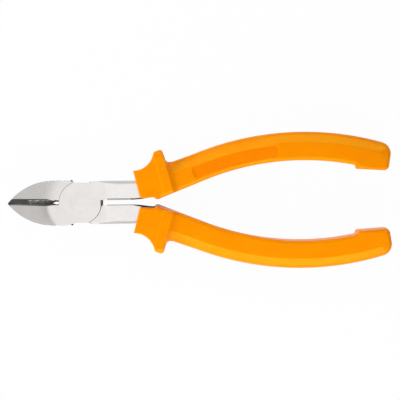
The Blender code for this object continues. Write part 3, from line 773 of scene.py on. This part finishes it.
def sleeve_half(plan):
    """Half thickness over plan points: collar, the ring across it, the hollow behind that, shank and lobe.

    Behind the ring it falls by 1 - (1 - t)^2 over the length of the fall, then eases up to the shank. The
    shank is crowned by CROWN times the square of the place across it, which fades out along the bow.
    """
    level = ring_level(plan)
    along, across = bow_place(plan)
    aside = across / GRIP_HALF_WIDTH
    collar = COLLAR_HALF + (RING_HALF - COLLAR_HALF) * smooth(level, *RING_FRONT)
    guard = GUARD_FALL * np.maximum(plan[..., 1] - GUARD_FALL_Y, 0.0)
    crown = CROWN * smooth(-along, -CROWN_END, -CROWN_FULL) * aside ** 2
    lean = FACE_LEAN * np.maximum(across + GRIP_HALF_WIDTH, 0.0)
    grip = np.interp(plan[..., 0], [SHANK_X, LOBE_ROOT[0]], [SHANK_HALF, LOBE_HALF]) - crown - lean
    fall = np.interp(aside, [-1.0, 1.0], RING_FALL)
    left = 1.0 - np.clip((level - RING_REAR) / fall, 0.0, 1.0)
    foot = HOLLOW_HALF + (grip - HOLLOW_HALF) * smooth(aside, *HOLLOW_END)
    hollow = RING_HALF + (foot - RING_HALF) * (1.0 - left ** 2)
    behind = hollow + (grip - foot) * smooth(level, RING_REAR + HOLLOW_RISE * fall, SHANK_LEVEL)
    return np.where(level < RING_REAR, collar - guard, behind)


def sunk_panel(plan):
    """Depth of the panel over plan points, from their distance to a round-cornered rectangle along the bow.

    The distance is the length of what lies outside the rectangle less its corner radius, along and across,
    less that radius. The floor lies PANEL_DEPTH down.
    """
    outside = np.abs(np.stack(bow_place(plan), axis=-1) - PANEL_MIDDLE) - PANEL_HALF + PANEL_CORNER
    past = np.linalg.norm(np.maximum(outside, 0.0), axis=-1)
    distance = past + np.minimum(outside.max(axis=-1), 0.0) - PANEL_CORNER
    return PANEL_DEPTH * smooth(-distance, 0.0, PANEL_WALL)


def sleeve_edges():
    """Finger and palm edges of the sleeve in plan with as many points, and the run that each belongs to."""
    palm_radius = BOW_RADIUS + GRIP_HALF_WIDTH
    finger_radius = BOW_RADIUS - GRIP_HALF_WIDTH
    guard_front = sweep(FRONT_CENTRE, FRONT_RADIUS, FRONT_END_DEG, 0.0, 1)[0]
    front = run(0.0, 1.0, 40) ** FRONT_PACKING
    front_arc = FRONT_CENTRE + FRONT_RADIUS * spokes(-90.0 + (FRONT_END_DEG + 90.0) * front)
    collar_span = np.subtract(COLLAR_INNER_REAR, COLLAR_INNER_FRONT)[:2]
    collar_line = np.array(COLLAR_INNER_FRONT[:2]) + np.outer(front, collar_span)
    start, lobe, full, end = np.array([BOW_DEG, LOBE_DEG, LOBE_FULL_DEG, LOBE_END_DEG]) + 90.0
    finger_last = (*bow_point(finger_radius, LOBE_DEG), 0.0)
    palm_last = (*bow_point(palm_radius, LOBE_END_DEG), 0.0)
    finger_end = eased([LOBE_REAR, END_INNER_CORNER, (*END_OUTER_CORNER[:2], 0.0)], 16)[:-1]
    palm_end = eased([palm_last, END_OUTER_CORNER, (*END_INNER_CORNER[:2], 0.0)], 16)[:-1]
    runs = {
        "collar": (collar_line, front_arc),
        "guard": (spread(eased([COLLAR_INNER_REAR, NIB_FRONT, NIB_REAR, NIB_END]), 80),
                  spread(eased([(*guard_front, 0.0), GUARD_TIP_FRONT, GUARD_TIP_REAR, GUARD_REAR]), 80)),
        "foot": (run(NIB_END[:2], FINGER_START[:2], 90),
                 spread(eased([GUARD_REAR, GUARD_FOOT, PALM_START]), 90)),
        "shank": (run(FINGER_START[:2], bow_point(finger_radius, BOW_DEG), 44),
                  run(PALM_START[:2], bow_point(palm_radius, BOW_DEG), 44)),
        "bow": (sweep(BOW_CENTRE, finger_radius, start, lobe, 220),
                sweep(BOW_CENTRE, palm_radius, start, lobe, 220)),
        "step": (spread(eased([finger_last, LOBE_ROOT, LOBE_CORNER, LOBE_FRONT]), 44),
                 sweep(BOW_CENTRE, palm_radius, lobe, full, 44)),
        "lobe": (run(LOBE_FRONT[:2], LOBE_REAR[:2], 32), sweep(BOW_CENTRE, palm_radius, full, end, 32)),
        "end": (spread(finger_end, 50), spread(palm_end, 50)),
    }
    finger = np.vstack([*(edges[0] for edges in runs.values()), finger_end[-1:]])
    palm = np.vstack([*(edges[1] for edges in runs.values()), palm_end[-1:]])
    run_of = np.repeat([*runs, "close"], [*(len(edges[0]) for edges in runs.values()), 1])
    return finger, palm, run_of


def moulded_sleeve(*finishes):
    """Mesh of a sleeve about the pivot, rounded at its edges, with the tang's room and the slot cut out."""
    finger, palm, run_of = sleeve_edges()
    rows = np.arange(len(palm))

    def along(**values):
        """Value at each row, straight between the first rows of the named runs."""
        return np.interp(rows, [np.argmax(run_of == name) for name in values], list(values.values()))

    palm_round = along(foot=COLLAR_ROUND, bow=PALM_ROUND, lobe=PALM_ROUND, end=END_ROUND)
    palm_slope = smooth(palm[:, 0], *SLOPE_START) * along(**PALM_SLOPE)
    finger_round = along(foot=COLLAR_EDGE, shank=FINGER_ROUND, lobe=FINGER_ROUND, end=END_ROUND)
    finger_slope = along(**FINGER_SLOPE)
    draft = np.interp(finger[:, 0], DRAFT_X, DRAFT)
    palm_cut = (palm_round, palm_round, 0.0)
    finger_cut = (finger_round, finger_round, 0.0)
    front_edge = np.array([finger[0], palm[0]])
    end_edge = np.array([finger[-1], palm[-1]])

    def one_face(slope, finger_facet, lean):
        """Points of a face before any panel: the half thickness less the deepest corner cut.

        lean is how far the finger side stands back at the face for the draft.
        """
        slope_cut = (slope[0], slope[1] * palm_slope, 1.0)
        facet_cut = (finger_facet[0] * finger_slope, finger_facet[1] * finger_slope, 1.0)
        edge = finger + inward(finger, 1.0) * lean[:, None]
        plan = cross_rows(finger, palm, lean + finger_round, palm_round, SLEEVE_RINGS, SLEEVE_COLUMNS)
        drops = [edge_drop(plan, edge, finger_cut) + edge_drop(plan, edge, facet_cut)]
        drops.append(edge_drop(plan, finger, (lean, DRAFT_HEIGHT * (lean > 0.0), 1.0)))
        slope_drop = np.where(ring_level(plan) < RING_REAR, 0.0, edge_drop(plan, palm, slope_cut))
        drops.append(edge_drop(plan, palm, palm_cut) + slope_drop)
        drops.append(edge_drop(plan, front_edge, (COLLAR_EDGE, COLLAR_EDGE, 0.0), window=1))
        drops.append(edge_drop(plan, end_edge, (END_ROUND, END_ROUND, 0.0), window=1))
        return plan, sleeve_half(plan) - np.max(drops, axis=0)

    plan, height = one_face(FRONT_SLOPE, FRONT_FINGER, np.zeros(len(finger)))
    sunk = sunk_panel(plan)
    top = raised(plan, height - sunk)
    back = raised(*one_face(BACK_SLOPE, BACK_FINGER, draft))
    floor_points = np.concatenate([sunk > PANEL_FLOOR * PANEL_DEPTH, np.zeros(back.shape[:2], bool)], axis=1)
    floor_points = floor_points & np.roll(floor_points, -1, axis=1)
    marks = np.where(floor_points[:-1] & floor_points[1:], GRAINED, SMOOTH)

    inner, outer = tang_edges()
    lead = (CAVITY_LEAD, 0.0)
    inner = np.vstack([inner[0] - lead, inner, 2.0 * inner[-1] - inner[-2]])
    outer = np.vstack([outer[0] - lead, outer, 2.0 * outer[-1] - outer[-2]])
    inner = inner - inward(inner, 1.0) * CAVITY_GAP
    outer = outer - inward(outer, -1.0) * CAVITY_GAP
    slot_inner = np.array([(inner[0, 0], -TANG_INNER), (SLOT_END_X, -TANG_INNER)])
    slot_outer = slot_inner + (0.0, TANG_INNER + SLOT_REACH)
    cutters = []
    for name, lower, upper in (("tang_room", inner, outer), ("collar_slot", slot_inner, slot_outer)):
        plan = cross_rows(lower, upper, CAVITY_PACKED, CAVITY_PACKED, 2, 1)
        room = raised(plan, forging_height(plan) + CAVITY_GAP)
        cutters.append(ringed(name, back_to_back(room, room)))
    return carved(ringed("grip_sleeve", back_to_back(top, back), marks), finishes, *cutters)


def moulded_pvc(name, deep, light, roughness):
    """Soft PVC as the mould leaves it: a full orange, a little uneven where the melt ran, with a satin gloss.

    deep and light are the ends of that unevenness. The gloss takes some of the pigment's colour.
    """
    made, tree, shader, place = finish_tree(name)
    flow = grain(tree, place, (9.0, 5.0, 5.0), Detail=3.0)
    skin = grain(tree, place, (1.2, 1.2, 1.2))
    wire(tree, shader, {
        "Base Color": toned(tree, flow, 0.3, 0.7, deep, light),
        "Roughness": toned(tree, skin, 0.3, 0.7, roughness - 0.03, roughness + 0.03),
        "Specular Tint": srgb("#FFE430"),
    })
    return made


polished_pvc = moulded_pvc("polished_mould_orange_pvc", "#F28500", "#F28A00", 0.32)
grained_pvc = moulded_pvc("grained_mould_orange_pvc", "#EE7A00", "#F28000", 0.55)
sleeve_mesh = moulded_sleeve(polished_pvc, grained_pvc)
fitted("upper_sleeve", sleeve_mesh, False, "front_lever", "upper_grip_sleeve")
fitted("lower_sleeve", sleeve_mesh, True, "rear_lever", "lower_grip_sleeve")


# Floor, light and camera
# A white table under the tool, with a long soft box on each side, two low ones that fill in, and a broad one
# overhead with a window in it, all in a pale room. The camera looks straight down through a long lens.
FLOOR_SIZE = 3.0
VIEW_WIDTH = 0.18808        # across the picture at the tool's middle plane
VIEW_CENTRE = (0.00024, 0.00054)
VIEW_ROLL = math.radians(-0.75)
LENS_DISTANCE = 1.1
SEEN_SHARE = 0.97           # how much of the floor shows plain white to the camera, and in a reflection;
MIRRORED_SHARE = 0.7        # the rest of it keeps the tool's shadow
ROOM_SEEN = 1.0             # the pale room: white to the camera,
ROOM_MIRRORED = 0.3         # grey in the metal
ROOM_LIGHT = 0.22           # and a weak light all round


def lamp(name, place, aim, size, power, mirrored=True):
    """A soft box: an area lamp of a size in metres at a place, facing a point; metal mirrors it or not."""
    light = bpy.data.lights.new(name, 'AREA')
    light.shape = 'RECTANGLE'
    light.size, light.size_y = size
    light.energy = power
    made = bpy.data.objects.new(name, light)
    made.location = place
    made.rotation_euler = (Vector(aim) - Vector(place)).to_track_quat('-Z', 'Y').to_euler()
    made.visible_glossy = mirrored
    bpy.context.scene.collection.objects.link(made)


def by_ray(tree, seen, mirrored, lit):
    """One number for what the camera sees, one for what is mirrored or seen through, one for other light."""
    path = add(tree, "LightPath").node.outputs
    through = {0: path["Is Glossy Ray"], 1: path["Is Transmission Ray"]}
    bounced = add(tree, "Math", through, operation='MAXIMUM')
    bounced = add(tree, "Math", {0: bounced, 1: mirrored - lit, 2: lit}, operation='MULTIPLY_ADD')
    camera_ray = {0: path["Is Camera Ray"], 1: seen - lit, 2: bounced}
    return add(tree, "Math", camera_ray, operation='MULTIPLY_ADD')


half_floor = FLOOR_SIZE / 2.0
floor_mesh = bpy.data.meshes.new("floor")
floor_mesh.from_pydata([(-half_floor, -half_floor, 0.0), (half_floor, -half_floor, 0.0),
                        (half_floor, half_floor, 0.0), (-half_floor, half_floor, 0.0)], [], [(0, 1, 2, 3)])
floor = bpy.data.objects.new("floor", floor_mesh)
bpy.context.scene.collection.objects.link(floor)
floor_finish, floor_tree, floor_shader, _ = finish_tree("matt_white_table")
wire(floor_tree, floor_shader, {"Base Color": srgb("#DCDCDC"), "Roughness": 0.9})
glow = add(floor_tree, "Emission", {"Color": (1.0, 1.0, 1.0, 1.0), "Strength": 1.0})
share = by_ray(floor_tree, SEEN_SHARE, MIRRORED_SHARE, 0.0)
mixed = add(floor_tree, "MixShader", {0: share, 1: floor_shader.outputs[0], 2: glow})
wire(floor_tree, floor_tree.nodes["Material Output"], {"Surface": mixed})
floor_mesh.materials.append(floor_finish)

world = bpy.data.worlds.new("room")
world.use_nodes = True
room_strength = by_ray(world.node_tree, ROOM_SEEN, ROOM_MIRRORED, ROOM_LIGHT)
room_look = {"Color": (1.0, 1.0, 1.0, 1.0), "Strength": room_strength}
wire(world.node_tree, world.node_tree.nodes["Background"], room_look)
bpy.context.scene.world = world

lamp("upper_strip", (0.02, 0.49, 0.355), (0.02, 0.0, 0.0), (0.68, 0.14), 1.7)
lamp("lower_strip", (0.02, -0.49, 0.355), (0.02, 0.0, 0.0), (0.7, 0.14), 2.2)
lamp("lower_wall", (-0.02, -0.36, 0.12), (-0.02, 0.0, 0.12), (0.62, 0.22), 0.8, mirrored=False)
lamp("front_wall", (-0.44, 0.0, 0.13), (0.0, 0.0, 0.13), (0.6, 0.24), 2.3, mirrored=False)
lamp("ceiling", (0.08, 0.0, 1.6), (0.08, 0.0, 0.0), (1.85, 1.5), 3.45)
lamp("ceiling_window", (0.45, 0.0, 1.59), (0.45, 0.0, 0.0), (1.4, 0.9), 1.25)

camera = bpy.data.cameras.new("camera")
camera.sensor_width = 36.0
camera.lens = camera.sensor_width * LENS_DISTANCE / VIEW_WIDTH
camera_object = bpy.data.objects.new("camera", camera)
camera_object.location = (*VIEW_CENTRE, PIVOT[2] + LENS_DISTANCE)
camera_object.rotation_euler = (0.0, 0.0, VIEW_ROLL)
bpy.context.scene.collection.objects.link(camera_object)
bpy.context.scene.camera = camera_object
